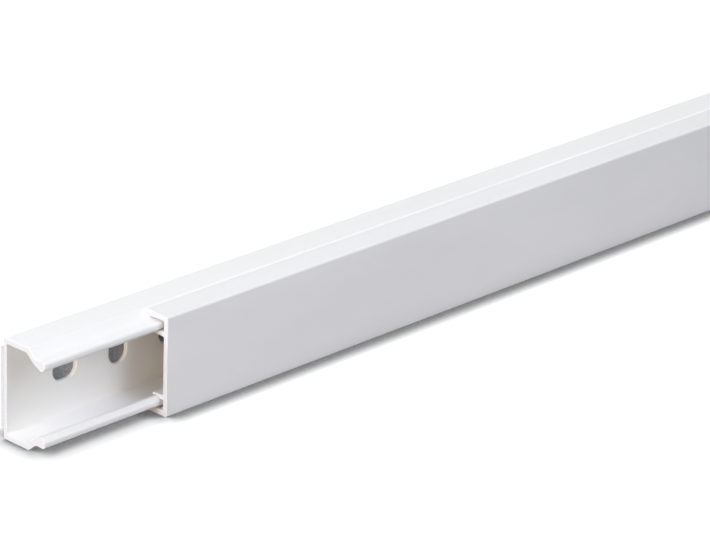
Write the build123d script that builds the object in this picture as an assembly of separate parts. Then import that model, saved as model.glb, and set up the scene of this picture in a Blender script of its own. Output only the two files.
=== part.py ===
"""Self-adhesive cable trunking: a slotted base channel, a clip-on lid, foam tape and its liner.

X runs along the trunking, Z up the height of its section and Y from the lid's face to the back.
The trunking stands on its narrow side, with the lid slid part of the way along the base.
The origin is at the middle of the whole object's footprint, on the floor.
"""
from build123d import *
import math
import os

os.makedirs("parts", exist_ok=True)

# Outside of the section
SECTION_HEIGHT = 38.0
SECTION_DEPTH = 25.0

# Lengths along X
STOCK_LENGTH = 2000.0
LID_SHIFT = 53.4          # how far the lid is slid along the base

# Walls
WEB_WALL = 1.6            # the base's flat back
FLANGE_WALL = 2.0         # the base's two sides
LIP_WALL = 2.3            # the sloped part of the base's lips
LID_WALL = 2.0

# Fit between base and lid
SLIDING_GAP = 0.25        # clearance all round where the lid runs on the base

# Base lip: each side of the base turns inwards at the joint and ends in a bead.
# A drop is measured from the outside of the side towards mid-height.
JOINT_DEPTH = 12.0        # from the lid's face back to the joint line
LIP_ANGLE = 40.0          # degrees that the lip turns away from the side
BEAD_TOP_DROP = 3.0
BEAD_NOSE_DROP = 5.2
BEAD_LOW_DROP = 6.7
BEAD_FLAT = 0.8           # level run under the bead, from its heel forwards
BEAD_UNDERSIDE = 1.6      # run of the bead's sloped underside along Y
BEAD_HEEL_ROUND = 1.3

# Catch behind the bead: a flatter slope on the lip's inside, for the lid's barb
CATCH_ANGLE = 27.0
CATCH_TOP_DROP = 4.8      # where the catch meets the steeper inside of the lip

# Lid leg: it springs from the lid's wall, passes the bead and catches behind it
LEG_TOP_DROP = 6.1
LEG_ROOT_DROP = 9.2
BARB_RISE = 0.3           # how far the barb stands up behind the bead's lowest point
BARB_RUN = 0.9
TIP_THICKNESS = 1.2

# Corner radii
BASE_CORNER = 1.2
JOINT_ROUND = 1.8         # where the base's side turns into the lip
LID_CORNER = 0.8
INNER_CORNER = 0.5
SMALL_EDGE = 0.25         # broken edges where the pieces meet

# Fixing slots in the web, one lying and one upright in turn
SLOT_LENGTH = 10.8
SLOT_WIDTH = 8.4
SLOT_PITCH = 25.0
FIRST_SLOT = 26.6         # from the end of the base to the middle of the first slot

# Foam tape on the back, and the paper liner that covers it
TAPE_WIDTH = 30.0
TAPE_THICKNESS = 1.2
LINER_THICKNESS = 0.2

# Places that follow from the sizes above
OVERALL_LENGTH = STOCK_LENGTH + LID_SHIFT
OVERALL_DEPTH = SECTION_DEPTH + TAPE_THICKNESS + LINER_THICKNESS
BASE_START = -OVERALL_LENGTH / 2
LID_START = BASE_START + LID_SHIFT
FRONT_Y = -OVERALL_DEPTH / 2
WEB_BACK_Y = FRONT_Y + SECTION_DEPTH

# Slopes of the lip and of the catch, and the sliding gap measured along Y across each
SLOPE = math.tan(math.radians(LIP_ANGLE))
SLOPE_GAP = SLIDING_GAP / math.sin(math.radians(LIP_ANGLE))
CATCH_SLOPE = math.tan(math.radians(CATCH_ANGLE))
CATCH_GAP = SLIDING_GAP / math.sin(math.radians(CATCH_ANGLE))

# Depths, from the lid's face, that the base's and the lid's outlines share.
# The lip's inside is as steep as its outside, and LIP_WALL away from it.
LIP_DROP = LIP_WALL / math.cos(math.radians(LIP_ANGLE))
INNER_BEND_DEPTH = JOINT_DEPTH + (LIP_DROP - FLANGE_WALL) / SLOPE
CATCH_TOP_DEPTH = JOINT_DEPTH + (LIP_DROP - CATCH_TOP_DROP) / SLOPE
HEEL_DEPTH = CATCH_TOP_DEPTH - (BEAD_LOW_DROP - CATCH_TOP_DROP) / CATCH_SLOPE
BEAD_LOW_DEPTH = HEEL_DEPTH - BEAD_FLAT
BEAD_FRONT_DEPTH = BEAD_LOW_DEPTH - BEAD_UNDERSIDE

# The bead's front is nearly a half round
BEAD_FRONT_ROUND = (BEAD_NOSE_DROP - BEAD_TOP_DROP) / 2


def section_point(depth, drop):
    """Point (Y, Z) of the section's upper half, from its depth and drop."""
    return (FRONT_Y + depth, SECTION_HEIGHT - drop)


def both_corners(face, points):
    """The face's corners at some upper points and at their mirror images."""
    places = [(y, height) for y, z in points for height in (z, SECTION_HEIGHT - z)]
    return [face.vertices().sort_by_distance((y, z, 0))[0] for y, z in places]


def section_face(upper_points, rounds, broken_points):
    """Closed outline of some upper points and their mirror image about mid-height.

    rounds is a list of (radius, points) to round, and broken_points get a small bevel.
    """
    lower_points = [(y, SECTION_HEIGHT - z) for y, z in reversed(upper_points)]
    face = make_face(Polyline(*upper_points, *lower_points, close=True))
    for radius, points in rounds:
        face = fillet(both_corners(face, points), radius)
    return chamfer(both_corners(face, broken_points), SMALL_EDGE)


def extruded(face, start, length):
    """Solid drawn out along X from a face in section coordinates."""
    return extrude(Plane.YZ.offset(start) * face, amount=length)


def base_section():
    """Flat web, two sides, and two lips that slope inwards and end in a bead."""
    web_corner = section_point(SECTION_DEPTH, 0)
    joint = section_point(JOINT_DEPTH, 0)
    bead_back = section_point(JOINT_DEPTH - BEAD_TOP_DROP / SLOPE, BEAD_TOP_DROP)
    bead_top = section_point(BEAD_FRONT_DEPTH, BEAD_TOP_DROP)
    bead_nose = section_point(BEAD_FRONT_DEPTH, BEAD_NOSE_DROP)
    bead_low = section_point(BEAD_LOW_DEPTH, BEAD_LOW_DROP)
    heel = section_point(HEEL_DEPTH, BEAD_LOW_DROP)
    catch_top = section_point(CATCH_TOP_DEPTH, CATCH_TOP_DROP)
    inner_bend = section_point(INNER_BEND_DEPTH, FLANGE_WALL)
    inner_corner = section_point(SECTION_DEPTH - WEB_WALL, FLANGE_WALL)
    upper = [web_corner, joint, bead_back, bead_top, bead_nose,
             bead_low, heel, catch_top, inner_bend, inner_corner]
    rounds = [
        (BASE_CORNER, [web_corner]),
        (JOINT_ROUND, [joint]),
        (BEAD_HEEL_ROUND, [heel]),
        (BEAD_FRONT_ROUND, [bead_top, bead_nose]),
        (INNER_CORNER, [bead_back, catch_top, inner_bend, inner_corner]),
    ]
    return section_face(upper, rounds, [bead_low])


def lid_section():
    """Flat face, two sides with bevelled ends, and two barbed legs that hold the beads."""
    underside = (BEAD_LOW_DROP - BEAD_NOSE_DROP) / BEAD_UNDERSIDE
    stretch = math.hypot(1, underside)
    seat_drop = BEAD_LOW_DROP + SLIDING_GAP
    seat_depth = BEAD_LOW_DEPTH - SLIDING_GAP * (stretch - 1) / underside
    shoulder_run = (LEG_TOP_DROP - BEAD_NOSE_DROP - SLIDING_GAP * stretch) / underside
    barb_drop = BEAD_LOW_DROP - BARB_RISE
    barb_depth = HEEL_DEPTH + CATCH_GAP + BARB_RISE / CATCH_SLOPE
    side_depth = JOINT_DEPTH - SLOPE_GAP

    face_corner = section_point(0, 0)
    side_end = section_point(side_depth, 0)
    side_bevel = section_point(side_depth - LID_WALL / SLOPE, LID_WALL)
    inner_corner = section_point(LID_WALL, LID_WALL)
    leg_top = section_point(LID_WALL, LEG_TOP_DROP)
    shoulder = section_point(BEAD_FRONT_DEPTH + shoulder_run, LEG_TOP_DROP)
    seat = section_point(seat_depth, seat_drop)
    barb_foot = section_point(barb_depth - BARB_RUN, seat_drop)
    barb_top = section_point(barb_depth, barb_drop)
    tip = section_point(barb_depth, barb_drop + TIP_THICKNESS)
    leg_root = section_point(LID_WALL, LEG_ROOT_DROP)
    upper = [face_corner, side_end, side_bevel, inner_corner, leg_top,
             shoulder, seat, barb_foot, barb_top, tip, leg_root]
    rounds = [(LID_CORNER, [face_corner]), (INNER_CORNER, [inner_corner, leg_root])]
    return section_face(upper, rounds, [side_end, leg_top, barb_top, tip])


def slot_cutters():
    """Fixing slots along the web's centre line, turned by a quarter one after the other."""
    count = int((STOCK_LENGTH - 2 * FIRST_SLOT) // SLOT_PITCH) + 1
    cutters = []
    for number in range(count):
        turn = 90 if number % 2 else 0
        along = BASE_START + FIRST_SLOT + number * SLOT_PITCH
        outline = SlotOverall(SLOT_LENGTH, SLOT_WIDTH, rotation=turn)
        place = Plane(origin=(along, WEB_BACK_Y, SECTION_HEIGHT / 2), x_dir=(1, 0, 0), z_dir=(0, -1, 0))
        cutters.append(extrude(place * outline, amount=WEB_WALL))
    return cutters


def back_strip(start_y, thickness):
    """Strip as long as the base, flat against its back or against another strip."""
    strip = Box(STOCK_LENGTH, thickness, TAPE_WIDTH, align=(Align.MIN, Align.MIN, Align.CENTER))
    return Pos(BASE_START, start_y, SECTION_HEIGHT / 2) * strip


def base_channel():
    """Extruded base with its slots."""
    return extruded(base_section(), BASE_START, STOCK_LENGTH) - slot_cutters()


def lid():
    """Extruded lid, the same length as the base."""
    return extruded(lid_section(), LID_START, STOCK_LENGTH)


def foam_tape():
    """Adhesive foam tape on the back of the web."""
    return back_strip(WEB_BACK_Y, TAPE_THICKNESS)


def release_liner():
    """Paper that covers the foam tape until the trunking is stuck up."""
    return back_strip(WEB_BACK_Y + TAPE_THICKNESS, LINER_THICKNESS)


for build in (base_channel, lid, foam_tape, release_liner):
    export_step(build(), f"parts/{build.__name__}.step")
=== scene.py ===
"""Looks of one length of self-adhesive cable trunking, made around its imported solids.

Four pieces are rebuilt as fine surfaces with numpy: the slotted base channel, the clip-on lid,
the foam tape on the back and the paper liner over the tape. Each has the section and the place
of its solid, with what an extrusion shows close up: arcs at every edge, lightly broken sawn
ends, slot rims rolled over by the punch, and a lid face that is a touch hollow.

Lengths are in millimetres until a mesh is made. X runs along the trunking from the base's near
end, Y goes from the lid's face to the back, and Z is up. A depth is measured back from the lid's
face, and a drop from the outside of a side towards mid-height.
"""
import logging
import math
from dataclasses import dataclass, field
from enum import Enum
from typing import Any, Sequence

import bmesh
import bpy
import numpy as np
from mathutils import Matrix, Vector
from numpy.typing import NDArray

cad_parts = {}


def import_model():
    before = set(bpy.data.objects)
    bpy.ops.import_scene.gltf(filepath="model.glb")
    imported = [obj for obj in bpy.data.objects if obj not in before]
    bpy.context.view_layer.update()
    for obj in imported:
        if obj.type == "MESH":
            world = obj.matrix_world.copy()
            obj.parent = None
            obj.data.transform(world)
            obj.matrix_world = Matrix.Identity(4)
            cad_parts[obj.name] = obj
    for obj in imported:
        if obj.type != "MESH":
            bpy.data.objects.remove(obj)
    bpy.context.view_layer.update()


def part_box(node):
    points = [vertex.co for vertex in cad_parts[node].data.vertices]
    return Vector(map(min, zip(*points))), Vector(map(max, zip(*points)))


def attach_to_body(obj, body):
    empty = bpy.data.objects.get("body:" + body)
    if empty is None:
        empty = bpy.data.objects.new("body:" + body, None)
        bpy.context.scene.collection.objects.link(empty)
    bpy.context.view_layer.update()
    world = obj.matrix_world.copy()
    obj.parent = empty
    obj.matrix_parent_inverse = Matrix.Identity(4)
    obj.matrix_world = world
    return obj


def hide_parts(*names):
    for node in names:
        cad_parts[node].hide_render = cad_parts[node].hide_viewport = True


LOG = logging.getLogger("trunking")
MM = 0.001
FloatArray = NDArray[np.float64]
IntArray = NDArray[np.int64]


class Node(Enum):
    """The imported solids, by their node names."""

    BASE = "base_channel"
    LID = "lid"
    TAPE = "foam_tape"
    LINER = "release_liner"


class Body(Enum):
    """The bodies that pieces ride on."""

    BASE = "base"
    LID = "lid"


class RecordSlot(Enum):
    """The record's material slots."""

    BASE = "base_pvc"
    LID = "lid_pvc"
    TAPE = "foam"
    LINER = "liner"


# Colour and shader nodes


def linear(code: str) -> tuple[float, float, float, float]:
    """Turn an sRGB hex colour into linear light.

    Args:
        code: Colour as "#rrggbb".

    Returns:
        Red, green, blue in linear light, and an alpha of 1.
    """
    channels = [int(code[start:start + 2], 16) / 255 for start in (1, 3, 5)]
    values = [c / 12.92 if c <= 0.04045 else ((c + 0.055) / 1.055) ** 2.4 for c in channels]
    return (values[0], values[1], values[2], 1.0)


def add_node(
    tree: bpy.types.NodeTree,
    kind: str,
    settings: dict[str, Any] | None = None,
    inputs: dict[str | int, Any] | None = None,
) -> bpy.types.Node:
    """Add one shader node with its settings, values and links.

    Args:
        tree: Node tree that takes the node.
        kind: Blender's type name of the node.
        settings: Properties of the node itself.
        inputs: Socket name or number, with a value, or an output socket to link from.

    Returns:
        The new node.
    """
    node = tree.nodes.new(kind)
    for name, value in (settings or {}).items():
        setattr(node, name, value)
    for name, value in (inputs or {}).items():
        if isinstance(value, bpy.types.NodeSocket):
            tree.links.new(value, node.inputs[name])
        else:
            node.inputs[name].default_value = value
    return node


def per_metre(size_mm: float) -> float:
    """Texture scale at which one feature of a pattern is about size_mm wide."""
    return 1 / (size_mm * MM)


def new_material(name: str) -> tuple[bpy.types.Material, bpy.types.NodeTree]:
    """Make an empty node material.

    Args:
        name: Plain name of the real material.

    Returns:
        The material and its node tree.
    """
    material = bpy.data.materials.new(name)
    material.use_nodes = True
    material.node_tree.nodes.clear()
    return material, material.node_tree


@dataclass(frozen=True)
class Blotches:
    """Random pattern on Object coordinates, whose blotches have a real size along each axis."""

    along: float                  # millimetres along X, and so on
    across: float
    high: float
    detail: float
    shift: float = 0.0            # in blotches, so that two pieces don't share one pattern
    weak: float = 0.3             # noise value that becomes 0
    strong: float = 0.7           # noise value that becomes 1
    roughness: float = 0.55

    def add(self, tree: bpy.types.NodeTree) -> bpy.types.NodeSocket:
        """Add the pattern to a material.

        Args:
            tree: Node tree that takes the nodes.

        Returns:
            The pattern's socket, from 0 to 1.
        """
        place = add_node(tree, "ShaderNodeTexCoord")
        mapping = add_node(tree, "ShaderNodeMapping", inputs={
            "Vector": place.outputs["Object"],
            "Location": (self.shift, self.shift, self.shift),
            "Scale": (per_metre(self.along), per_metre(self.across), per_metre(self.high)),
        })
        noise = add_node(tree, "ShaderNodeTexNoise", inputs={
            "Vector": mapping.outputs["Vector"],
            "Scale": 1.0,
            "Detail": self.detail,
            "Roughness": self.roughness,
        })
        spread = add_node(tree, "ShaderNodeMapRange", inputs={
            "Value": noise.outputs["Fac"], "From Min": self.weak, "From Max": self.strong,
        })
        return spread.outputs["Result"]


# Finishes


@dataclass(frozen=True)
class ExtrudedPvc:
    """White rigid PVC, extruded through a steel die, cooled in a calibrator and sawn to length.

    The eye gets a clean cool white with a satin gloss, faint lines along the length where the die
    drew them, and ends that are duller because a saw cut them. The ends' greyer, slightly blue
    colour is painted shade, which holds down the key light and the warm low fill that fall on them.
    """

    name: str
    colour: str = "#f3f2f0"
    haze_colour: str = "#eeedea"
    # painted shade: the sawn ends are greyer and bluer than the PVC, to hold down the light on them
    sawn_colour_with_painted_shade: str = "#d9dadd"
    roughness: float = 0.32
    haze_roughness: float = 0.4
    cut_roughness: float = 0.62
    ior: float = 1.53
    line_pitch: float = 0.7       # millimetres across; the real lines are finer than would show
    line_length: float = 260.0
    line_depth: float = 0.0012
    haze_length: float = 112.0
    haze_size: float = 28.0
    saw_pitch: float = 0.55       # a little coarser than real saw marks, to show at all
    saw_length: float = 4.95
    saw_depth: float = 0.02
    shift: float = 0.0

    def build(self) -> bpy.types.Material:
        """Make the material.

        Returns:
            The finished material.
        """
        material, tree = new_material(self.name)
        size, pitch, shift = self.haze_size, self.line_pitch, self.shift
        haze = Blotches(self.haze_length, size, size, detail=3, shift=shift).add(tree)
        lines = Blotches(self.line_length, pitch, pitch, detail=2, shift=shift).add(tree)
        marks = Blotches(self.saw_pitch, self.saw_length, self.saw_pitch, detail=3, shift=shift).add(tree)
        cut = add_node(tree, "ShaderNodeAttribute", {"attribute_name": CUT_MARK}).outputs["Fac"]
        soft = add_node(tree, "ShaderNodeMix", {"data_type": "RGBA"}, {
            0: haze, 6: linear(self.colour), 7: linear(self.haze_colour),
        })
        # the sawn ends take their painted shade here
        colour = add_node(tree, "ShaderNodeMix", {"data_type": "RGBA"}, {
            0: cut, 6: soft.outputs[2], 7: linear(self.sawn_colour_with_painted_shade),
        })
        sheen = add_node(tree, "ShaderNodeMix", inputs={
            0: haze, 2: self.roughness, 3: self.haze_roughness,
        })
        rough = add_node(tree, "ShaderNodeMix", inputs={
            0: cut, 2: sheen.outputs[0], 3: self.cut_roughness,
        })
        drawn = add_node(tree, "ShaderNodeBump", inputs={
            "Distance": self.line_depth * MM, "Height": lines,
        })
        scored = add_node(tree, "ShaderNodeMath", {"operation": "MULTIPLY"}, {0: marks, 1: cut})
        sawn = add_node(tree, "ShaderNodeBump", inputs={
            "Distance": self.saw_depth * MM, "Height": scored.outputs[0], "Normal": drawn.outputs[0],
        })
        shader = add_node(tree, "ShaderNodeBsdfPrincipled", inputs={
            "Base Color": colour.outputs[2],
            "Roughness": rough.outputs[0],
            "IOR": self.ior,
            "Normal": sawn.outputs[0],
        })
        add_node(tree, "ShaderNodeOutputMaterial", inputs={"Surface": shader.outputs[0]})
        return material


@dataclass(frozen=True)
class AdhesiveFoam:
    """Closed-cell foam tape, slit from a roll and coated with a grey acrylic adhesive.

    The eye gets a mottled grey sticky face through the slots, and pale cut edges with fine cells.
    """

    name: str = "acrylic adhesive on closed-cell foam"
    glue_dark: str = "#7d7e7f"
    glue_light: str = "#a5a6a7"
    edge_dark: str = "#c3c7cd"
    edge_light: str = "#dfe2e7"
    glue_roughness: float = 0.48
    edge_roughness: float = 0.8
    ior: float = 1.48
    blotch_size: float = 0.9
    blotch_depth: float = 0.05
    cell_size: float = 0.35       # millimetres; the real cells are half as wide
    cell_depth: float = 0.08

    def build(self) -> bpy.types.Material:
        """Make the material.

        Returns:
            The finished material.
        """
        material, tree = new_material(self.name)
        blotch = Blotches(self.blotch_size, self.blotch_size, self.blotch_size, detail=4).add(tree)
        cells = Blotches(self.cell_size, self.cell_size, self.cell_size, detail=2).add(tree)
        cut = add_node(tree, "ShaderNodeAttribute", {"attribute_name": CUT_MARK}).outputs["Fac"]
        glue = add_node(tree, "ShaderNodeMix", {"data_type": "RGBA"}, {
            0: blotch, 6: linear(self.glue_dark), 7: linear(self.glue_light),
        })
        edge = add_node(tree, "ShaderNodeMix", {"data_type": "RGBA"}, {
            0: cells, 6: linear(self.edge_dark), 7: linear(self.edge_light),
        })
        colour = add_node(tree, "ShaderNodeMix", {"data_type": "RGBA"}, {
            0: cut, 6: glue.outputs[2], 7: edge.outputs[2],
        })
        rough = add_node(tree, "ShaderNodeMix", inputs={
            0: cut, 2: self.glue_roughness, 3: self.edge_roughness,
        })
        rippled = add_node(tree, "ShaderNodeBump", inputs={
            "Distance": self.blotch_depth * MM, "Height": blotch,
        })
        pitted = add_node(tree, "ShaderNodeBump", inputs={
            "Distance": self.cell_depth * MM, "Height": cells, "Normal": rippled.outputs[0],
        })
        shader = add_node(tree, "ShaderNodeBsdfPrincipled", inputs={
            "Base Color": colour.outputs[2],
            "Roughness": rough.outputs[0],
            "IOR": self.ior,
            "Normal": pitted.outputs[0],
        })
        add_node(tree, "ShaderNodeOutputMaterial", inputs={"Surface": shader.outputs[0]})
        return material


@dataclass(frozen=True)
class SiliconePaper:
    """Bleached paper with a silicone coat, wound and slit with the tape.

    The eye gets a pale blue white with a weak gloss, paper fibres, and cloudy bands along it.
    """

    name: str = "silicone-coated release paper"
    colour: str = "#dde4ee"
    cloud_colour: str = "#d0d9e6"
    roughness: float = 0.42
    cloud_roughness: float = 0.55
    ior: float = 1.5
    fibre_length: float = 2.4
    fibre_width: float = 0.25     # millimetres; single fibres are too fine to show
    fibre_depth: float = 0.006
    cloud_length: float = 21.0
    cloud_size: float = 7.0

    def build(self) -> bpy.types.Material:
        """Make the material.

        Returns:
            The finished material.
        """
        material, tree = new_material(self.name)
        cloud = Blotches(self.cloud_length, self.cloud_size, self.cloud_size, detail=4).add(tree)
        fibre = Blotches(self.fibre_length, self.fibre_width, self.fibre_width, detail=3).add(tree)
        colour = add_node(tree, "ShaderNodeMix", {"data_type": "RGBA"}, {
            0: cloud, 6: linear(self.colour), 7: linear(self.cloud_colour),
        })
        rough = add_node(tree, "ShaderNodeMix", inputs={
            0: cloud, 2: self.roughness, 3: self.cloud_roughness,
        })
        felted = add_node(tree, "ShaderNodeBump", inputs={
            "Distance": self.fibre_depth * MM, "Height": fibre,
        })
        shader = add_node(tree, "ShaderNodeBsdfPrincipled", inputs={
            "Base Color": colour.outputs[2],
            "Roughness": rough.outputs[0],
            "IOR": self.ior,
            "Normal": felted.outputs[0],
        })
        add_node(tree, "ShaderNodeOutputMaterial", inputs={"Surface": shader.outputs[0]})
        return material


@dataclass(frozen=True)
class StudioPaper:
    """Matt background paper.

    The eye gets pure white away from the object, and its shade in a narrow band close to it. The
    shade at a point is worked out from how much of the half space towards an upright wall is
    open, in the direction where the least is. Half of it is open at the foot of a wall, and the
    rest opens by about the square of the distance over the band's width, so a power of about a
    half makes the shade fade evenly.
    """

    name: str = "matt background paper"
    colour: str = "#aaaaaa"       # as the light meets it, so that it throws little back up
    seen_colour: str = "#8a8a8a"  # as it is looked at, before the lift
    lift: float = 3.4             # light added where it is looked at, to reach white
    shade_colour: str = "#2c2c2c"  # right against the object
    band: float = 0.0078          # metres from a wall to where the shade ends
    wall_foot: float = 0.5        # open share at the foot of a wall
    fading: float = 0.55
    samples: int = 12
    wall_ways: tuple[tuple[float, float, float], ...] = (
        (1.0, 0.0, 0.0), (-1.0, 0.0, 0.0), (0.0, 1.0, 0.0), (0.0, -1.0, 0.0),
    )

    def open_share(self, tree: bpy.types.NodeTree) -> bpy.types.NodeSocket:
        """Smallest open share over the four ways that a wall can stand.

        Args:
            tree: Node tree that takes the nodes.

        Returns:
            The share's socket, from wall_foot at a wall to 1 in the open.
        """
        shares = []
        for way in self.wall_ways:
            facing = add_node(tree, "ShaderNodeCombineXYZ", inputs=dict(enumerate(way)))
            around = add_node(tree, "ShaderNodeAmbientOcclusion", {"samples": self.samples}, {
                "Distance": self.band, "Normal": facing.outputs[0],
            })
            shares.append(around.outputs["AO"])
        least = shares[0]
        for share in shares[1:]:
            smaller = add_node(tree, "ShaderNodeMath", {"operation": "MINIMUM"}, {0: least, 1: share})
            least = smaller.outputs[0]
        return least

    def build(self) -> bpy.types.Material:
        """Make the material.

        Returns:
            The finished material.
        """
        material, tree = new_material(self.name)
        plain = add_node(tree, "ShaderNodeBsdfDiffuse", inputs={"Color": linear(self.colour)})
        beyond = add_node(tree, "ShaderNodeMapRange", inputs={
            "Value": self.open_share(tree), "From Min": self.wall_foot,
        })
        shade = add_node(tree, "ShaderNodeMath", {"operation": "POWER"}, {
            0: beyond.outputs["Result"], 1: self.fading,
        })
        tint = add_node(tree, "ShaderNodeMix", {"data_type": "RGBA"}, {
            0: shade.outputs[0], 6: linear(self.shade_colour), 7: linear(self.seen_colour),
        })
        bright = add_node(tree, "ShaderNodeBsdfDiffuse", inputs={"Color": tint.outputs[2]})
        glow = add_node(tree, "ShaderNodeEmission", inputs={
            "Color": tint.outputs[2], "Strength": self.lift,
        })
        shown = add_node(tree, "ShaderNodeAddShader", inputs={
            0: bright.outputs[0], 1: glow.outputs[0],
        })
        mix = add_node(tree, "ShaderNodeMixShader", inputs={
            0: looked_at(tree), 1: plain.outputs[0], 2: shown.outputs[0],
        })
        add_node(tree, "ShaderNodeOutputMaterial", inputs={"Surface": mix.outputs[0]})
        return material


def looked_at(tree: bpy.types.NodeTree) -> bpy.types.NodeSocket:
    """Add what tells whether a surface is looked at: straight, in a reflection or through glass.

    Args:
        tree: Node tree that takes the nodes.

    Returns:
        A socket that is 1 where it is looked at and 0 where it only takes part in the lighting.
    """
    path = add_node(tree, "ShaderNodeLightPath").outputs
    direct = add_node(tree, "ShaderNodeMath", {"operation": "MAXIMUM"}, {
        0: path["Is Camera Ray"], 1: path["Is Glossy Ray"],
    })
    every = add_node(tree, "ShaderNodeMath", {"operation": "MAXIMUM"}, {
        0: direct.outputs[0], 1: path["Is Transmission Ray"],
    })
    return every.outputs[0]


# Outlines and surfaces

CUT_MARK = "cut_face"             # vertex value, 1 where a saw or a slitting knife cut the piece
ARC_STEP = math.radians(7.5)      # turn of one facet of an arc
LEAST_FACETS = 3                  # facets of the shortest arc
WELD = 1e-3                       # points closer than this, in millimetres, are one point


@dataclass(frozen=True)
class Corner:
    """One corner of a section: its depth, its drop and the radius that rounds it."""

    depth: float
    drop: float
    radius: float = 0.0


def arc_at(before: FloatArray, corner: FloatArray, after: FloatArray, radius: float) -> FloatArray:
    """Points of the arc that rounds one corner.

    The arc touches both runs. Its centre lies on the line that halves the corner, radius over
    the sine of half the angle away, and its points are spread evenly over the turn.

    Args:
        before: Point that the outline comes from.
        corner: The sharp corner.
        after: Point that the outline goes to.
        radius: Radius of the arc, or 0 for a sharp corner.

    Returns:
        One row for each point.
    """
    if radius <= 0:
        return corner[None, :]
    back = (before - corner) / np.linalg.norm(before - corner)
    ahead = (after - corner) / np.linalg.norm(after - corner)
    half = math.acos(float(np.clip(back @ ahead, -1, 1))) / 2
    centre = corner + (back + ahead) / np.linalg.norm(back + ahead) * radius / math.sin(half)
    touch = radius / math.tan(half)
    start = math.atan2(*(corner + back * touch - centre)[::-1])
    end = math.atan2(*(corner + ahead * touch - centre)[::-1])
    turn = (end - start + math.pi) % (2 * math.pi) - math.pi
    steps = max(LEAST_FACETS, math.ceil(abs(turn) / ARC_STEP))
    angles = start + turn * np.linspace(0, 1, steps + 1)
    return centre + radius * np.stack([np.cos(angles), np.sin(angles)], 1)


def rounded(points: FloatArray, radii: Sequence[float], closed: bool) -> FloatArray:
    """Outline through points, with an arc at each rounded corner.

    Args:
        points: Corners, one row each.
        radii: Radius of each corner.
        closed: True if the last corner runs on to the first.

    Returns:
        The outline's points in order.
    """
    count = len(points)
    inner = range(count) if closed else range(1, count - 1)
    arcs = [arc_at(points[i - 1], points[i], points[(i + 1) % count], radii[i]) for i in inner]
    ends = ([], []) if closed else ([points[:1]], [points[-1:]])
    return np.concatenate([*ends[0], *arcs, *ends[1]])


def divided(points: FloatArray, longest: float, closed: bool) -> FloatArray:
    """Outline with its long runs cut into equal shares no longer than a given length.

    Args:
        points: Outline, one row for each point.
        longest: Longest share in millimetres.
        closed: True if the last point runs on to the first.

    Returns:
        The outline with the added points.
    """
    start = points if closed else points[:-1]
    step = (np.roll(points, -1, 0) if closed else points[1:])[: len(start)] - start
    shares = np.maximum(1, np.ceil(np.linalg.norm(step, axis=1) / longest)).astype(int)
    row = np.repeat(np.arange(len(start)), shares)
    part = np.arange(len(row)) - np.repeat(np.cumsum(shares) - shares, shares)
    made = start[row] + step[row] * (part / shares[row])[:, None]
    return made if closed else np.concatenate([made, points[-1:]])


def inward(outline: FloatArray) -> FloatArray:
    """Unit vectors that point into a closed outline, one at each of its points.

    Each is the direction between the two neighbours, turned by a quarter. The sign of the
    outline's area says which way round it runs.

    Args:
        outline: Closed outline, one row for each point.

    Returns:
        One row for each point.
    """
    ahead, behind = np.roll(outline, -1, 0), np.roll(outline, 1, 0)
    along = ahead - behind
    area = np.sum(outline[:, 0] * ahead[:, 1] - outline[:, 1] * ahead[:, 0])
    turned = np.stack([-along[:, 1], along[:, 0]], 1) * np.sign(area)
    return turned / np.linalg.norm(turned, axis=1, keepdims=True)


def quarter_round(radius: float, steps: int) -> FloatArray:
    """Profile of an edge rounded by a quarter circle.

    Row n is radius times (1 - cos a, 1 - sin a), where a is n steps of the quarter turn.

    Args:
        radius: Radius of the round.
        steps: Number of its facets.

    Returns:
        Rows of (distance behind the face, how far the edge still is from its full width).
    """
    angle = np.linspace(0, math.pi / 2, steps + 1)
    return radius * np.stack([1 - np.cos(angle), 1 - np.sin(angle)], 1)


@dataclass(frozen=True)
class BrokenEnd:
    """Edge of a sawn end, taken off with a scraper: a quarter round all along the outline."""

    radius: float = 0.12
    steps: int = 3

    def rows(self) -> FloatArray:
        """Distance from the end and inset of each row, from the end face along the piece."""
        return quarter_round(self.radius, self.steps)


def swept(outline: FloatArray, places: FloatArray, insets: FloatArray | None = None) -> FloatArray:
    """Surface of an outline carried along X, drawn in where the insets say.

    The point at station s and outline place p is (x of s, outline of p plus inset of s times the
    inward direction of p).

    Args:
        outline: Points (Y, Z) of the outline, which is a closed one where there are insets.
        places: X of each station.
        insets: Inset of each station, or None to carry the outline straight.

    Returns:
        Grid of points, stations by outline places.
    """
    across = np.repeat(outline[None], len(places), 0)
    if insets is not None:
        across += insets[:, None, None] * inward(outline)[None]
    along = np.broadcast_to(places[:, None, None], (*across.shape[:2], 1))
    return np.concatenate([along, across], 2)


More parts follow.
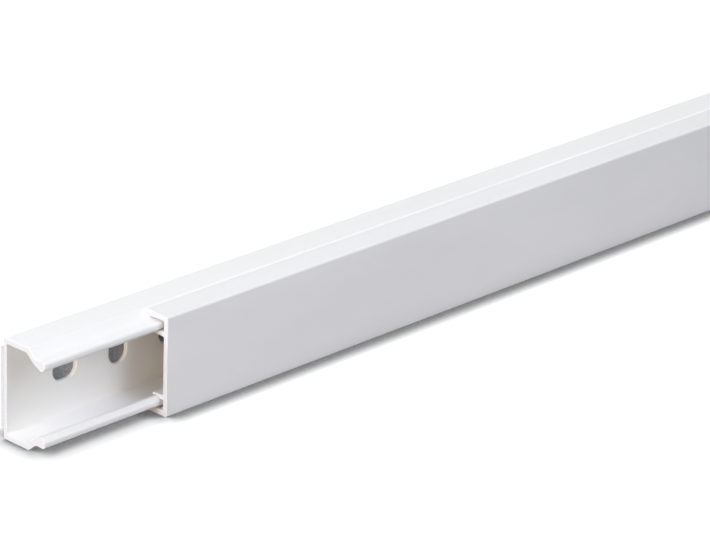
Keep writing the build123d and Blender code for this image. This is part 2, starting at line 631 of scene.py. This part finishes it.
@dataclass
class Shell:
    """One closed surface, collected from grids and flat faces that share their borders."""

    points: list[FloatArray] = field(default_factory=list)
    faces: list[list[int]] = field(default_factory=list)
    count: int = 0

    def add(self, points: FloatArray, faces: IntArray) -> None:
        """Add points and faces.

        Args:
            points: Points in millimetres, one row each.
            faces: Rows of numbers into these points.
        """
        self.points.append(points)
        self.faces.extend((faces + self.count).tolist())
        self.count += len(points)

    def add_grid(self, grid: FloatArray, closed: bool = False) -> None:
        """Add a grid of points as four-sided faces.

        Args:
            grid: Points, rows by columns.
            closed: True if the last column runs on to the first.
        """
        rows, columns = grid.shape[:2]
        number = np.arange(rows * columns).reshape(rows, columns)
        if closed:
            number = np.concatenate([number, number[:, :1]], 1)
        faces = np.stack([number[:-1, :-1], number[:-1, 1:], number[1:, 1:], number[1:, :-1]], -1)
        self.add(grid.reshape(-1, 3), faces.reshape(-1, 4))

    def add_cap(self, ring: FloatArray) -> None:
        """Add one flat face inside a closed ring of points."""
        self.add(ring, np.arange(len(ring))[None, :])

    def build(self, name: str) -> bpy.types.Object:
        """Join the borders and make the piece, with its faces turned outwards.

        Args:
            name: Name of the piece.

        Returns:
            The object, at the origin.
        """
        mesh = bpy.data.meshes.new(name)
        mesh.from_pydata((np.concatenate(self.points) * MM).tolist(), [], self.faces)
        work = bmesh.new()
        work.from_mesh(mesh)
        bmesh.ops.remove_doubles(work, verts=work.verts, dist=WELD * MM)
        bmesh.ops.recalc_face_normals(work, faces=work.faces)
        work.to_mesh(mesh)
        work.free()
        mesh.shade_smooth()
        piece = bpy.data.objects.new(name, mesh)
        bpy.context.scene.collection.objects.link(piece)
        weigh = piece.modifiers.new("even shading on flats", "WEIGHTED_NORMAL")
        weigh.mode = "FACE_AREA"
        weigh.keep_sharp = True
        return piece


def closed_shell(grid: FloatArray) -> Shell:
    """Closed shell of a piece that is swept from end to end.

    Args:
        grid: Points of the piece's surface, stations by outline places.

    Returns:
        The shell, with a flat face at each end.
    """
    shell = Shell()
    shell.add_grid(grid, closed=True)
    shell.add_cap(grid[0])
    shell.add_cap(grid[-1])
    return shell


def mesh_points(piece: bpy.types.Object) -> FloatArray:
    """Read the places of a piece's vertices.

    Args:
        piece: Piece with a mesh.

    Returns:
        One row for each vertex, in millimetres.
    """
    flat = np.empty(len(piece.data.vertices) * 3)
    piece.data.vertices.foreach_get("co", flat)
    return flat.reshape(-1, 3) / MM


def mark_cut(piece: bpy.types.Object, cut: NDArray[np.bool_]) -> None:
    """Store which vertices lie on a cut face.

    Args:
        piece: Piece that takes the vertex value.
        cut: True for each vertex on a cut face.
    """
    mark = piece.data.attributes.new(CUT_MARK, "FLOAT", "POINT")
    mark.data.foreach_set("value", cut.astype(np.float32))


def at_ends(points: FloatArray, low: FloatArray, high: FloatArray) -> NDArray[np.bool_]:
    """Which points lie on the two end faces of a span along X."""
    return np.minimum(np.abs(points[:, 0] - low[0]), np.abs(points[:, 0] - high[0])) < WELD


# The trunking's pieces


@dataclass(frozen=True)
class Section:
    """Sizes that the base's and the lid's outlines share.

    Their names follow the parts of a lip: its bead has a top, a nose, a low point and a heel, and
    the catch lies behind the heel. The lid's leg passes the bead and ends in a barb with a tip.
    """

    height: float = 38.0
    depth: float = 25.0
    web: float = 1.6
    flange: float = 2.0
    lip_wall: float = 2.3
    lid_wall: float = 2.0
    gap: float = 0.25
    joint_depth: float = 12.0
    lip_angle: float = 40.0
    bead_top: float = 3.0
    bead_nose: float = 5.2
    bead_low: float = 6.7
    bead_flat: float = 0.8
    bead_underside: float = 1.6
    heel_round: float = 1.3
    catch_angle: float = 27.0
    catch_top: float = 4.8
    leg_top: float = 6.1
    leg_root: float = 7.9         # the solid's leg is stouter here
    barb_rise: float = 0.3
    barb_run: float = 0.9
    tip: float = 1.2
    base_corner: float = 1.2
    joint_round: float = 1.8
    lid_corner: float = 0.8
    inner_corner: float = 0.5
    small_edge: float = 0.25

    @property
    def slope(self) -> float:
        """Drop of the lip for each millimetre of depth."""
        return math.tan(math.radians(self.lip_angle))

    @property
    def catch_slope(self) -> float:
        """Drop of the catch behind the bead for each millimetre of depth."""
        return math.tan(math.radians(self.catch_angle))

    @property
    def lip_drop(self) -> float:
        """Wall of the lip, measured as a drop."""
        return self.lip_wall / math.cos(math.radians(self.lip_angle))

    @property
    def catch_depth(self) -> float:
        """Depth at which the lip's inside turns into the catch."""
        return self.joint_depth + (self.lip_drop - self.catch_top) / self.slope

    @property
    def heel_depth(self) -> float:
        """Depth of the bead's heel."""
        return self.catch_depth - (self.bead_low - self.catch_top) / self.catch_slope

    @property
    def low_depth(self) -> float:
        """Depth at which the bead's underside starts to rise to its nose."""
        return self.heel_depth - self.bead_flat

    @property
    def front_depth(self) -> float:
        """Depth of the bead's front."""
        return self.low_depth - self.bead_underside

    def base_corners(self) -> list[Corner]:
        """Corners of the base's upper half.

        Returns:
            The corners in order, from the web's back over the lip to the web's inside.
        """
        inner_bend = self.joint_depth + (self.lip_drop - self.flange) / self.slope
        nose_round = (self.bead_nose - self.bead_top) / 2
        return [
            Corner(self.depth, 0, self.base_corner),
            Corner(self.joint_depth, 0, self.joint_round),
            Corner(self.joint_depth - self.bead_top / self.slope, self.bead_top, self.inner_corner),
            Corner(self.front_depth, self.bead_top, nose_round),
            Corner(self.front_depth, self.bead_nose, nose_round),
            Corner(self.low_depth, self.bead_low, self.small_edge),
            Corner(self.heel_depth, self.bead_low, self.heel_round),
            Corner(self.catch_depth, self.catch_top, self.inner_corner),
            Corner(inner_bend, self.flange, self.inner_corner),
            Corner(self.depth - self.web, self.flange, self.inner_corner),
        ]

    def lid_corners(self) -> list[Corner]:
        """Corners of the lid's upper half.

        The leg's seat runs along the bead's underside, one gap away from it, and its barb stands
        one gap behind the catch.

        Returns:
            The corners in order, from the lid's face round its side to the root of its leg.
        """
        underside = (self.bead_low - self.bead_nose) / self.bead_underside
        stretch = math.hypot(1, underside)
        seat = self.bead_low + self.gap
        shoulder_run = (self.leg_top - self.bead_nose - self.gap * stretch) / underside
        barb = self.bead_low - self.barb_rise
        catch_gap = self.gap / math.sin(math.radians(self.catch_angle))
        barb_depth = self.heel_depth + catch_gap + self.barb_rise / self.catch_slope
        side = self.joint_depth - self.gap / math.sin(math.radians(self.lip_angle))
        return [
            Corner(0, 0, self.lid_corner),
            Corner(side, 0, self.small_edge),
            Corner(side - self.lid_wall / self.slope, self.lid_wall),
            Corner(self.lid_wall, self.lid_wall, self.inner_corner),
            Corner(self.lid_wall, self.leg_top, self.small_edge),
            Corner(self.front_depth + shoulder_run, self.leg_top),
            Corner(self.low_depth - self.gap * (stretch - 1) / underside, seat),
            Corner(barb_depth - self.barb_run, seat),
            Corner(barb_depth, barb, self.small_edge),
            Corner(barb_depth, barb + self.tip, self.small_edge),
            Corner(self.lid_wall, self.leg_root, self.inner_corner),
        ]


@dataclass(frozen=True)
class Place:
    """Where the section and the base's near end lie in the frame."""

    near: float       # X of the base's near end
    front: float      # Y of the lid's face
    height: float     # Z of the section's top

    @property
    def middle(self) -> float:
        """Z of mid-height."""
        return self.height / 2

    def upper(self, corners: Sequence[Corner]) -> tuple[FloatArray, list[float]]:
        """Points (Y, Z) and radii of a section's upper half."""
        points = [(self.front + c.depth, self.height - c.drop) for c in corners]
        return np.array(points), [c.radius for c in corners]

    def mirrored(self, points: FloatArray) -> FloatArray:
        """Points (Y, Z) mirrored about mid-height, in the opposite order."""
        return points[::-1] * (1, -1) + (0, 2 * self.middle)


def node_span(node: Node) -> tuple[FloatArray, FloatArray]:
    """Lowest and highest corner of a solid, in millimetres."""
    low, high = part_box(node.value)
    return np.array(low) / MM, np.array(high) / MM


def attach(
    piece: bpy.types.Object, material: bpy.types.Material, body: Body, node: Node
) -> None:
    """Dress a piece and let it ride in place of its solid.

    Args:
        piece: The finished piece.
        material: Its material.
        body: Body that it rides on.
        node: Solid that it stands for.
    """
    piece.data.materials.append(material)
    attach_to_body(piece, body.value)
    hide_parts(node.value)
    LOG.info("%s: %d faces, rides on %s", piece.name, len(piece.data.polygons), body.value)


@dataclass
class BaseChannel:
    """The extruded base: flat web with punched slots, two sides, and two beaded lips."""

    section: Section
    place: Place
    finish: ExtrudedPvc
    slot_length: float = 10.8
    slot_width: float = 8.4
    slot_pitch: float = 25.0
    first_slot: float = 26.6
    band_half: float = 7.0        # half height of the strip of web that the slots take
    rim_points: int = 48
    rim_steps: int = 4            # facets of the rounds at a slot's rims
    side_points: int = 2          # border shares along each side of a slot's cell
    entry_round: float = 0.45     # edge rolled over where the punch went in
    exit_round: float = 0.12
    end: BrokenEnd = BrokenEnd()

    def outline(self) -> tuple[FloatArray, int]:
        """Closed outline of the whole section.

        It runs from the slots' strip over the upper half to the inside of the web, crosses the
        strip, comes back over the lower half, and crosses the strip again on the outside.

        Returns:
            The outline's points, and how many of them belong to one half.
        """
        corners, radii = self.place.upper(self.section.base_corners())
        high = self.place.middle + self.band_half
        outer = np.array([[corners[0, 0], high]])
        inner = np.array([[corners[-1, 0], high]])
        half = rounded(np.concatenate([outer, corners, inner]), [0.0, *radii, 0.0], closed=False)
        inside_mid = np.array([[corners[-1, 0], self.place.middle]])
        outside_mid = np.array([[corners[0, 0], self.place.middle]])
        return np.concatenate([half, inside_mid, self.place.mirrored(half), outside_mid]), len(half)

    def slot_centres(self, length: float) -> FloatArray:
        """X of each slot's middle."""
        count = int((length - 2 * self.first_slot) // self.slot_pitch) + 1
        return self.place.near + self.first_slot + self.slot_pitch * np.arange(count)

    def cell_rings(self) -> FloatArray:
        """Depth into the web and growth of the slot's outline, for each ring of a slot's wall.

        The rings follow a quarter round of entry_round at the inside of the web, the straight
        wall, and a quarter round of exit_round at the back.

        Returns:
            Rows of (distance behind the web's inside, growth of the outline).
        """
        entry = quarter_round(self.entry_round, self.rim_steps)
        leave = quarter_round(self.exit_round, self.rim_steps)[::-1] * (-1, 1)
        return np.concatenate([entry, leave + (self.section.web, 0)])

    def cell_walls(self, centres: FloatArray, inside: float) -> FloatArray:
        """Walls of all slots, each a grid of two parameters: the ring, and the angle round it.

        The slot's outline at angle t is half the straight part, on the side of the cosine's
        sign, plus the radius times (cos t, sin t). Upright slots take the sine's sign instead.
        The first angle is half a step past the cell's lower right corner.

        Args:
            centres: X of each slot's middle.
            inside: Y of the web's inside.

        Returns:
            Points, slots by rings by angles.
        """
        turn = 2 * math.pi * (np.arange(self.rim_points) + 0.5) / self.rim_points - math.pi / 4
        circle = np.stack([np.cos(turn), np.sin(turn)], 1)
        rings = self.cell_rings()
        radius = self.slot_width / 2 + rings[:, 1]
        straight = (self.slot_length - self.slot_width) / 2
        upright = (np.arange(len(centres)) % 2)[:, None, None]
        lying = np.stack([np.sign(circle[:, 0]), 0 * turn], 1)[None] * (1 - upright)
        raised = np.stack([0 * turn, np.sign(circle[:, 1])], 1)[None] * upright
        flat = (lying + raised)[:, None] * straight + radius[None, :, None, None] * circle[None, None]
        wall = np.empty((*flat.shape[:3], 3))
        wall[..., 0] = centres[:, None, None] + flat[..., 0]
        wall[..., 1] = inside + rings[None, :, None, 0]
        wall[..., 2] = self.place.middle + flat[..., 1]
        return wall

    def cell_border(self) -> FloatArray:
        """Outer border of a slot's cell.

        Returns:
            Points (X, Z) about the cell's middle, from its lower right corner.
        """
        x, z = self.slot_pitch / 2, self.band_half
        corners = np.array([(x, -z), (x, z), (-x, z), (-x, -z)])
        return divided(corners, 2 * max(x, z) / self.side_points, closed=True)

    def cell_faces(self, shares: int) -> IntArray:
        """Flat faces between a slot's rim and its cell's border.

        Each has one share of the border as its straight side and as many rim points on its
        curved side as come to that share.

        Args:
            shares: Number of shares, and of points, on the border.

        Returns:
            Rows of numbers into the rim's points and then the border's.
        """
        ring_of = np.arange(self.rim_points).reshape(shares, -1)
        inner = np.concatenate([ring_of, np.roll(ring_of[:, :1], -1, 0)], 1)[:, ::-1]
        outer = np.arange(shares) + self.rim_points
        return np.concatenate([outer[:, None], np.roll(outer, -1)[:, None], inner], 1)

    def add_cells(self, shell: Shell, centres: FloatArray, inside: float) -> None:
        """Add the strip of web around every slot: the slots' walls and the flat faces.

        Args:
            shell: Shell that takes the faces.
            centres: X of each slot's middle.
            inside: Y of the web's inside.
        """
        border = self.cell_border()
        faces = self.cell_faces(len(border))
        for centre, wall in zip(centres, self.cell_walls(centres, inside)):
            shell.add_grid(wall, closed=True)
            for ring, depth in ((0, 0.0), (-1, self.section.web)):
                edge = np.insert(border + (centre, self.place.middle), 1, inside + depth, axis=1)
                shell.add(np.concatenate([wall[ring], edge]), faces)

    def add_ends(self, shell: Shell, outline: FloatArray, spans: Sequence[tuple[float, float]]) -> None:
        """Add the whole section from each sawn end to where the slots' cells start.

        Args:
            shell: Shell that takes the faces.
            outline: Closed outline of the section.
            spans: X of each end, and X where its stretch stops.
        """
        rows = self.end.rows()
        for end, stop in spans:
            places = np.append(end + math.copysign(1, stop - end) * rows[:, 0], stop)
            grid = swept(outline, places, np.append(rows[:, 1], 0))
            shell.add_grid(grid, closed=True)
            shell.add_cap(grid[0])

    def build(self) -> bpy.types.Object:
        """Make the piece and dress it.

        Returns:
            The finished piece, on its body.
        """
        low, high = node_span(Node.BASE)
        outline, half = self.outline()
        centres = self.slot_centres(high[0] - low[0])
        first, last = centres[0] - self.slot_pitch / 2, centres[-1] + self.slot_pitch / 2
        shell = Shell()
        self.add_ends(shell, outline, ((low[0], first), (high[0], last)))
        stations = np.linspace(first, last, 2 * len(centres) + 1)
        for part in (slice(0, half), slice(half + 1, 2 * half + 1)):
            shell.add_grid(swept(outline[part], stations))
        self.add_cells(shell, centres, self.place.front + self.section.depth - self.section.web)
        piece = shell.build("base_channel_extrusion")
        self.dress(piece, low, high)
        return piece

    def dress(self, piece: bpy.types.Object, low: FloatArray, high: FloatArray) -> None:
        """Mark the sawn ends, give the finish and put the piece on its body.

        Args:
            piece: The base.
            low: Its solid's lowest corner.
            high: Its solid's highest corner.
        """
        mark_cut(piece, at_ends(mesh_points(piece), low, high))
        attach(piece, self.finish.build(), Body.BASE, Node.BASE)


@dataclass
class Lid:
    """The extruded lid: flat face, two sides with bevelled ends, and two barbed legs."""

    section: Section
    place: Place
    finish: ExtrudedPvc
    hollow: float = 0.1           # how far the face sinks at mid-height as it cools
    hollow_depth: float = 5.0     # depth at which nothing of that is left
    column: float = 2.5           # longest face across, and along
    station: float = 25.0
    end: BrokenEnd = BrokenEnd()

    def outline(self) -> FloatArray:
        """Closed outline of the section: its upper half and the mirror image of that.

        Returns:
            The outline's points in order.
        """
        corners, radii = self.place.upper(self.section.lid_corners())
        sharp = np.concatenate([corners, self.place.mirrored(corners)])
        return divided(rounded(sharp, [*radii, *radii[::-1]], closed=True), self.column, closed=True)

    def sunk(self, grid: FloatArray) -> FloatArray:
        """Face drawn in at mid-height, by a parabola over the height that fades with depth.

        Args:
            grid: Points of the straight extrusion.

        Returns:
            The points, moved along Y.
        """
        share = 1 - ((grid[..., 2] - self.place.middle) / self.place.middle) ** 2
        fade = np.clip(1 - (grid[..., 1] - self.place.front) / self.hollow_depth, 0, 1)
        moved = grid.copy()
        moved[..., 1] += self.hollow * share * fade
        return moved

    def build(self) -> bpy.types.Object:
        """Make the piece and dress it.

        Returns:
            The finished piece, on its body.
        """
        low, high = node_span(Node.LID)
        outline = self.outline()
        rows = self.end.rows()
        count = math.ceil((high[0] - low[0]) / self.station)
        inner = np.linspace(low[0] + self.station, high[0] - self.station, count)
        places = np.concatenate([low[0] + rows[:, 0], inner, high[0] - rows[::-1, 0]])
        insets = np.concatenate([rows[:, 1], 0 * inner, rows[::-1, 1]])
        piece = closed_shell(self.sunk(swept(outline, places, insets))).build("lid_extrusion")
        self.dress(piece, low, high)
        return piece

    def dress(self, piece: bpy.types.Object, low: FloatArray, high: FloatArray) -> None:
        """Mark the sawn ends, give the finish and put the piece on its body.

        Args:
            piece: The lid.
            low: Its solid's lowest corner.
            high: Its solid's highest corner.
        """
        mark_cut(piece, at_ends(mesh_points(piece), low, high))
        attach(piece, self.finish.build(), Body.LID, Node.LID)


def strip_grid(
    low: FloatArray, high: FloatArray, corner: float, column: float, station: float
) -> FloatArray:
    """Surface of a flat strip: a rounded rectangle carried along X.

    Args:
        low: Lowest corner of the strip.
        high: Highest corner of the strip.
        corner: Radius of its four long edges.
        column: Longest share across the strip.
        station: Longest share along it.

    Returns:
        Grid of points, stations by outline places.
    """
    box = np.array([(low[1], low[2]), (high[1], low[2]), (high[1], high[2]), (low[1], high[2])])
    outline = divided(rounded(box, [corner] * len(box), closed=True), column, closed=True)
    inner = np.linspace(low[0] + corner, high[0] - corner, math.ceil((high[0] - low[0]) / station))
    places = np.concatenate([low[:1], inner, high[:1]])
    return swept(outline, places)


@dataclass
class FoamTape:
    """Strip of adhesive foam whose slit edges wander a little."""

    finish: AdhesiveFoam
    corner: float = 0.15
    column: float = 1.5           # longest face across, and along
    station: float = 5.0
    wander: float = 0.18          # farthest that an edge is drawn in
    waves: tuple[float, ...] = (310.0, 121.0, 47.0)
    lag: float = 2.6              # turn, in radians, of the upper edge's waves against the lower's
    edge_share: float = 0.25      # outer part of the half width that the wander reaches into

    def drawn_in(self, grid: FloatArray, low: FloatArray, high: FloatArray) -> FloatArray:
        """Strip with its two slit edges drawn in.

        The draw is half the wander times one plus the mean of a few sine waves along X. It fades
        from the edge to nothing over the outer share of the half width.

        Args:
            grid: Points of the straight strip.
            low: Strip's lowest corner.
            high: Strip's highest corner.

        Returns:
            The points, moved along Z.
        """
        height = grid[..., 2] - (low[2] + high[2]) / 2
        out = np.abs(height) / ((high[2] - low[2]) / 2)
        side = np.sign(height)
        lag = self.lag * (side + 1) / 2
        sway = sum(np.sin(2 * math.pi * grid[..., 0] / wave + lag) for wave in self.waves)
        draw = self.wander * (1 + sway / len(self.waves)) / 2
        moved = grid.copy()
        moved[..., 2] -= side * draw * np.clip(1 - (1 - out) / self.edge_share, 0, 1)
        return moved

    def build(self) -> bpy.types.Object:
        """Make the piece and dress it.

        Returns:
            The finished piece, on its body.
        """
        low, high = node_span(Node.TAPE)
        grid = strip_grid(low, high, self.corner, self.column, self.station)
        piece = closed_shell(self.drawn_in(grid, low, high)).build("foam_tape_strip")
        self.dress(piece, low, high)
        return piece

    def dress(self, piece: bpy.types.Object, low: FloatArray, high: FloatArray) -> None:
        """Mark the edges and ends, which the slitting knife cut, and finish and attach the piece.

        Args:
            piece: The tape.
            low: Its solid's lowest corner.
            high: Its solid's highest corner.
        """
        points = mesh_points(piece)
        below = np.minimum(points[:, 1] - low[1], high[1] - points[:, 1])
        mark_cut(piece, (below > self.corner / 2) | at_ends(points, low, high))
        attach(piece, self.finish.build(), Body.BASE, Node.TAPE)


@dataclass
class ReleaseLiner:
    """Paper strip over the tape, with the faint ripples of a strip wound on a roll."""

    finish: SiliconePaper
    corner: float = 0.05
    column: float = 2.0           # longest face across, and along
    station: float = 4.0
    ripple: float = 0.07          # farthest that the outer face sinks
    waves: tuple[float, ...] = (83.0, 37.0, 19.0)
    slant: float = 0.35           # how far a ripple runs along for each millimetre up

    def rippled(self, grid: FloatArray, low: FloatArray, high: FloatArray) -> FloatArray:
        """Strip with a rippled outer face.

        The outer face sinks by half the ripple times one plus the mean of a few sine waves along
        a slanted line, and the inner face stays flat on the tape.

        Args:
            grid: Points of the straight strip.
            low: Strip's lowest corner.
            high: Strip's highest corner.

        Returns:
            The points, moved along Y.
        """
        outer = (grid[..., 1] - low[1]) / (high[1] - low[1])
        along = grid[..., 0] + self.slant * (grid[..., 2] - low[2])
        sway = sum(np.sin(2 * math.pi * along / wave) for wave in self.waves)
        moved = grid.copy()
        moved[..., 1] -= self.ripple * (1 + sway / len(self.waves)) / 2 * outer
        return moved

    def build(self) -> bpy.types.Object:
        """Make the piece and dress it.

        Returns:
            The finished piece, on its body.
        """
        low, high = node_span(Node.LINER)
        grid = strip_grid(low, high, self.corner, self.column, self.station)
        piece = closed_shell(self.rippled(grid, low, high)).build("release_liner_paper")
        self.dress(piece)
        return piece

    def dress(self, piece: bpy.types.Object) -> None:
        """Give the finish and put the piece on its body."""
        attach(piece, self.finish.build(), Body.BASE, Node.LINER)


# Camera, floor and light


def towards(azimuth: float, elevation: float) -> Vector:
    """Unit vector to a place round the object.

    Args:
        azimuth: Degrees round the object, 0 in front of the lid's face, 90 off the near end.
        elevation: Degrees above the floor.

    Returns:
        The direction in the frame.
    """
    turn, rise = math.radians(azimuth), math.radians(elevation)
    return Vector((-math.sin(turn) * math.cos(rise), -math.cos(turn) * math.cos(rise), math.sin(rise)))


@dataclass(frozen=True)
class PhotoCamera:
    """Camera at the photograph's viewing angle, placed from the base's near front corner."""

    azimuth: float = 46.542
    elevation: float = 22.597
    roll: float = 2.074
    focal_length: float = 194.96
    sensor_width: float = 36.0
    distance: float = 1307.71     # millimetres
    aim_right: float = 103.096    # millimetres that the line of sight passes beside the corner
    aim_up: float = 61.715        # and above it
    sight: float = 200.0          # metres

    def build(self, corner: Vector) -> bpy.types.Object:
        """Make the camera.

        Args:
            corner: Base's near end at the lid's face and the floor, in metres.

        Returns:
            The camera object, set as the scene's camera.
        """
        back = towards(self.azimuth, self.elevation)
        level = Vector((0, 0, 1)).cross(back).normalized()
        rise = back.cross(level)
        tilt = math.radians(self.roll)
        right = level * math.cos(tilt) + rise * math.sin(tilt)
        up = rise * math.cos(tilt) - level * math.sin(tilt)
        spot = corner + (right * self.aim_right + up * self.aim_up + back * self.distance) * MM
        data = bpy.data.cameras.new("photo_camera")
        data.lens = self.focal_length
        data.sensor_fit = "HORIZONTAL"
        data.sensor_width = self.sensor_width
        data.clip_end = self.sight
        camera = bpy.data.objects.new("photo_camera", data)
        bpy.context.scene.collection.objects.link(camera)
        axes = Matrix((right, up, back)).transposed().to_4x4()
        camera.matrix_world = Matrix.Translation(spot) @ axes
        bpy.context.scene.camera = camera
        LOG.info("camera %.0f mm from the near corner", self.distance)
        return camera


@dataclass(frozen=True)
class SoftLamp:
    """Round diffuser lamp aimed at the near end of the trunking, with its lengths in metres."""

    name: str
    azimuth: float
    elevation: float
    level: float                  # brightness of a white sheet at the near end that faces the lamp
    colour: tuple[float, float, float]
    distance: float = 2.4
    width: float = 1.4

    def build(self, aim: Vector) -> bpy.types.Object:
        """Make the lamp.

        A white sheet at the distance d shows the level 1 under a power of pi squared d squared.

        Args:
            aim: Point that the lamp looks at, in metres.

        Returns:
            The lamp object.
        """
        data = bpy.data.lights.new(self.name, "AREA")
        data.shape = "DISK"
        data.size = self.width
        data.energy = self.level * (math.pi * self.distance) ** 2
        data.color = self.colour
        lamp = bpy.data.objects.new(self.name, data)
        bpy.context.scene.collection.objects.link(lamp)
        way = towards(self.azimuth, self.elevation)
        lamp.location = aim + way * self.distance
        lamp.rotation_mode = "QUATERNION"
        lamp.rotation_quaternion = way.to_track_quat("Z", "Y")
        lamp.visible_camera = False
        LOG.info("lamp %s at level %.2f", self.name, self.level)
        return lamp


@dataclass(frozen=True)
class Studio:
    """White paper floor, white surroundings, a weak even light and a few soft lamps."""

    paper: StudioPaper = StudioPaper()
    half_width: float = 60.0      # of the floor, in metres
    aim: tuple[float, float, float] = (100.0, 0.0, 20.0)  # from the near corner, in millimetres
    air_level: float = 0.2        # reaches the far end, which the lamps hardly do
    air_colour: tuple[float, float, float] = (1.0, 1.0, 1.0)
    lamps: tuple[SoftLamp, ...] = (
        SoftLamp("cool_key_off_the_near_end", 90.0, 30.0, 0.74, (0.76, 0.82, 1.0)),
        SoftLamp("low_light_from_behind", 180.0, 12.0, 0.2, (1.0, 1.0, 1.0)),
        SoftLamp("close_front_fill", 0.0, 30.0, 0.27, (0.7, 0.83, 1.0), distance=1.2, width=0.7),
        SoftLamp("high_front_fill", 0.0, 50.0, 0.16, (0.85, 0.8, 1.0)),
        SoftLamp("low_warm_fill", 75.0, 8.0, 0.42, (1.0, 0.76, 0.52), width=0.8),
        SoftLamp("close_overhead", 100.0, 60.0, 0.17, (1.0, 1.0, 0.7), distance=1.2, width=0.7),
        SoftLamp("rim_off_the_far_end", 250.0, 38.0, 0.12, (1.0, 1.0, 1.0), width=0.8),
    )

    def build(self, corner: Vector) -> None:
        """Make the floor, the surroundings and the lamps.

        Args:
            corner: Base's near end at the lid's face and the floor, in metres.
        """
        mesh = bpy.data.meshes.new("studio_floor")
        far = self.half_width
        mesh.from_pydata([(-far, -far, 0), (far, -far, 0), (far, far, 0), (-far, far, 0)], [], [(0, 1, 2, 3)])
        mesh.materials.append(self.paper.build())
        floor = bpy.data.objects.new("studio_floor", mesh)
        bpy.context.scene.collection.objects.link(floor)
        self.surround()
        for lamp in self.lamps:
            lamp.build(corner + Vector(self.aim) * MM)

    def surround(self) -> None:
        """Make a world that is white where it is looked at, and else a weak even light."""
        world = bpy.data.worlds.new("white surroundings")
        bpy.context.scene.world = world
        world.use_nodes = True
        tree = world.node_tree
        tree.nodes.clear()
        air = add_node(tree, "ShaderNodeBackground", inputs={
            "Color": (*self.air_colour, 1.0), "Strength": self.air_level,
        })
        white = add_node(tree, "ShaderNodeBackground", inputs={
            "Color": (1.0, 1.0, 1.0, 1.0), "Strength": 1.0,
        })
        mix = add_node(tree, "ShaderNodeMixShader", inputs={
            0: looked_at(tree), 1: air.outputs[0], 2: white.outputs[0],
        })
        add_node(tree, "ShaderNodeOutputWorld", inputs={"Surface": mix.outputs[0]})


def main() -> None:
    """Load the frame, make the pieces, the camera and the studio."""
    logging.basicConfig(level=logging.INFO, format="%(name)s: %(message)s")
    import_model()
    low, high = node_span(Node.BASE)
    lid_low, _ = node_span(Node.LID)
    section = Section()
    place = Place(near=low[0], front=lid_low[1], height=high[2])
    base_pvc = ExtrudedPvc("white rigid PVC, base", colour="#f7f6f3", haze_colour="#f3f2ee")
    BaseChannel(section, place, base_pvc).build()
    Lid(section, place, ExtrudedPvc("white rigid PVC, lid", shift=0.37)).build()
    FoamTape(AdhesiveFoam()).build()
    ReleaseLiner(SiliconePaper()).build()
    near_corner = Vector((place.near, place.front, 0)) * MM
    PhotoCamera().build(near_corner)
    Studio().build(near_corner)
    bpy.context.scene.view_settings.view_transform = "Standard"


if __name__ == "__main__":
    main()
